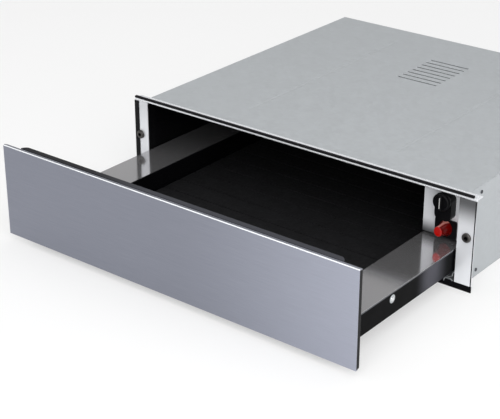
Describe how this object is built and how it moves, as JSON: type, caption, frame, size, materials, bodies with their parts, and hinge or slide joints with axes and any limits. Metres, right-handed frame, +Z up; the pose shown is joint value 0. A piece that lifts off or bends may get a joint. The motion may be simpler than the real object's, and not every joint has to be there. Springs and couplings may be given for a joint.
{
  "type": "built-in warming drawer",
  "caption": "Built-in warming drawer with a steel push-to-open front, low tray with side shelves, ball runners, set-back knob and lit switch, and a fan heater in its housing.",
  "frame": {"origin": "centre of the underside of the housing's base plate", "axes": "+X to the right as seen from the front, +Y from the front into the cabinet, +Z up"},
  "size_m": [0.595, 0.8002, 0.146],
  "materials": {
    "front_steel": "fine horizontal brushing, slightly blue",
    "frame_steel": "smooth satin stainless steel",
    "zinc_steel": "plain zinc-coated sheet",
    "black_steel": "semi-gloss black paint",
    "black_enamel": "gloss black enamel",
    "black_plastic": "satin black moulding",
    "black_rubber": "matt black rubber",
    "dark_metal": "dark burnished steel",
    "chrome": "polished",
    "runner_balls": "bright steel cage and balls",
    "white_print": "white inlay",
    "white_plastic": "natural white moulding",
    "red_lens": "translucent red, lit from inside"
  },
  "bodies": {
    "housing": {"base_plate": "zinc_steel", "side_panel_left": "zinc_steel", "side_panel_right": "zinc_steel", "top_panel": "zinc_steel", "rear_panel": "zinc_steel", "front_column_left": "frame_steel", "front_column_right": "frame_steel", "edge_seal": "black_rubber", "top_front_rail": "frame_steel", "top_seal_strip": "black_rubber", "bottom_front_strip": "black_steel", "mounting_screw_left": "dark_metal", "mounting_screw_right": "dark_metal", "side_liner_left": "black_enamel", "side_liner_right": "black_enamel", "ceiling_liner": "black_enamel", "rear_liner": "black_enamel", "control_box": "frame_steel", "control_box_cover": "zinc_steel", "wiring_duct": "zinc_steel", "knob_bezel": "black_plastic", "thermostat": "white_plastic", "switch_bezel": "black_plastic", "switch_body": "black_plastic", "runner_bracket_left": "zinc_steel", "runner_bracket_right": "zinc_steel", "fixed_rail_left": "zinc_steel", "fixed_rail_right": "zinc_steel", "latch_body": "black_plastic", "fan_bracket": "zinc_steel", "fan_motor": "dark_metal", "heating_element": "dark_metal", "thermal_cutout": "dark_metal", "terminal_block": "white_plastic", "cable_gland": "black_rubber"},
    "drawer": {"front_panel": "front_steel", "front_backing": "black_plastic", "front_carrier": "black_steel", "drawer_tray": "black_enamel", "non_slip_mat": "black_rubber", "side_shelf_left": "frame_steel", "side_shelf_right": "frame_steel", "outer_side_left": "black_steel", "outer_side_right": "black_steel", "side_stud_left": "chrome", "side_stud_right": "chrome", "drawer_rail_left": "zinc_steel", "drawer_rail_right": "zinc_steel", "latch_striker": "zinc_steel"},
    "middle_runner_left": {"middle_rail_left": "zinc_steel"},
    "middle_runner_right": {"middle_rail_right": "zinc_steel"},
    "outer_cage_left": {"outer_ball_cage_left": "runner_balls"},
    "outer_cage_right": {"outer_ball_cage_right": "runner_balls"},
    "inner_cage_left": {"inner_ball_cage_left": "runner_balls"},
    "inner_cage_right": {"inner_ball_cage_right": "runner_balls"},
    "knob": {"thermostat_knob": "black_plastic", "knob_pointer": "white_print"},
    "button": {"power_button": "red_lens"},
    "plunger": {"latch_plunger": "white_plastic"},
    "fan": {"fan_impeller": "zinc_steel"}
  },
  "joints": [
    {"name": "drawer_slide", "type": "slide", "parent": "housing", "child": "drawer", "axis": [0, -1, 0], "range_m": [-0.25, 0.11]},
    {"name": "middle_runner_slide_left", "type": "slide", "parent": "housing", "child": "middle_runner_left", "axis": [0, -1, 0], "range_m": [-0.125, 0.055]},
    {"name": "outer_cage_slide_left", "type": "slide", "parent": "housing", "child": "outer_cage_left", "axis": [0, -1, 0], "range_m": [-0.0625, 0.0275]},
    {"name": "inner_cage_slide_left", "type": "slide", "parent": "housing", "child": "inner_cage_left", "axis": [0, -1, 0], "range_m": [-0.1875, 0.0825]},
    {"name": "middle_runner_slide_right", "type": "slide", "parent": "housing", "child": "middle_runner_right", "axis": [0, -1, 0], "range_m": [-0.125, 0.055]},
    {"name": "outer_cage_slide_right", "type": "slide", "parent": "housing", "child": "outer_cage_right", "axis": [0, -1, 0], "range_m": [-0.0625, 0.0275]},
    {"name": "inner_cage_slide_right", "type": "slide", "parent": "housing", "child": "inner_cage_right", "axis": [0, -1, 0], "range_m": [-0.1875, 0.0825]},
    {"name": "knob_turn", "type": "hinge", "parent": "housing", "child": "knob", "pos_m": [0.245, -0.2602, 0.1178], "axis": [0, 1, 0], "range_deg": [0, 270]},
    {"name": "button_press", "type": "slide", "parent": "housing", "child": "button", "axis": [0, 1, 0], "range_m": [0, 0.0025], "stiffness_N_per_m": 300, "springref_m": -0.001},
    {"name": "latch_plunger_press", "type": "slide", "parent": "housing", "child": "plunger", "axis": [0, 1, 0], "range_m": [0, 0.008], "stiffness_N_per_m": 300, "springref_m": -0.001},
    {"name": "fan_spin", "type": "hinge", "parent": "housing", "child": "fan", "pos_m": [0, 0.23, 0.066], "axis": [0, 1, 0], "continuous": true}
  ],
  "couplings": [
    {"joint": "middle_runner_slide_left", "follows": "drawer_slide", "ratio": 0.5},
    {"joint": "outer_cage_slide_left", "follows": "drawer_slide", "ratio": 0.25},
    {"joint": "inner_cage_slide_left", "follows": "drawer_slide", "ratio": 0.75},
    {"joint": "middle_runner_slide_right", "follows": "drawer_slide", "ratio": 0.5},
    {"joint": "outer_cage_slide_right", "follows": "drawer_slide", "ratio": 0.25},
    {"joint": "inner_cage_slide_right", "follows": "drawer_slide", "ratio": 0.75}
  ]
}
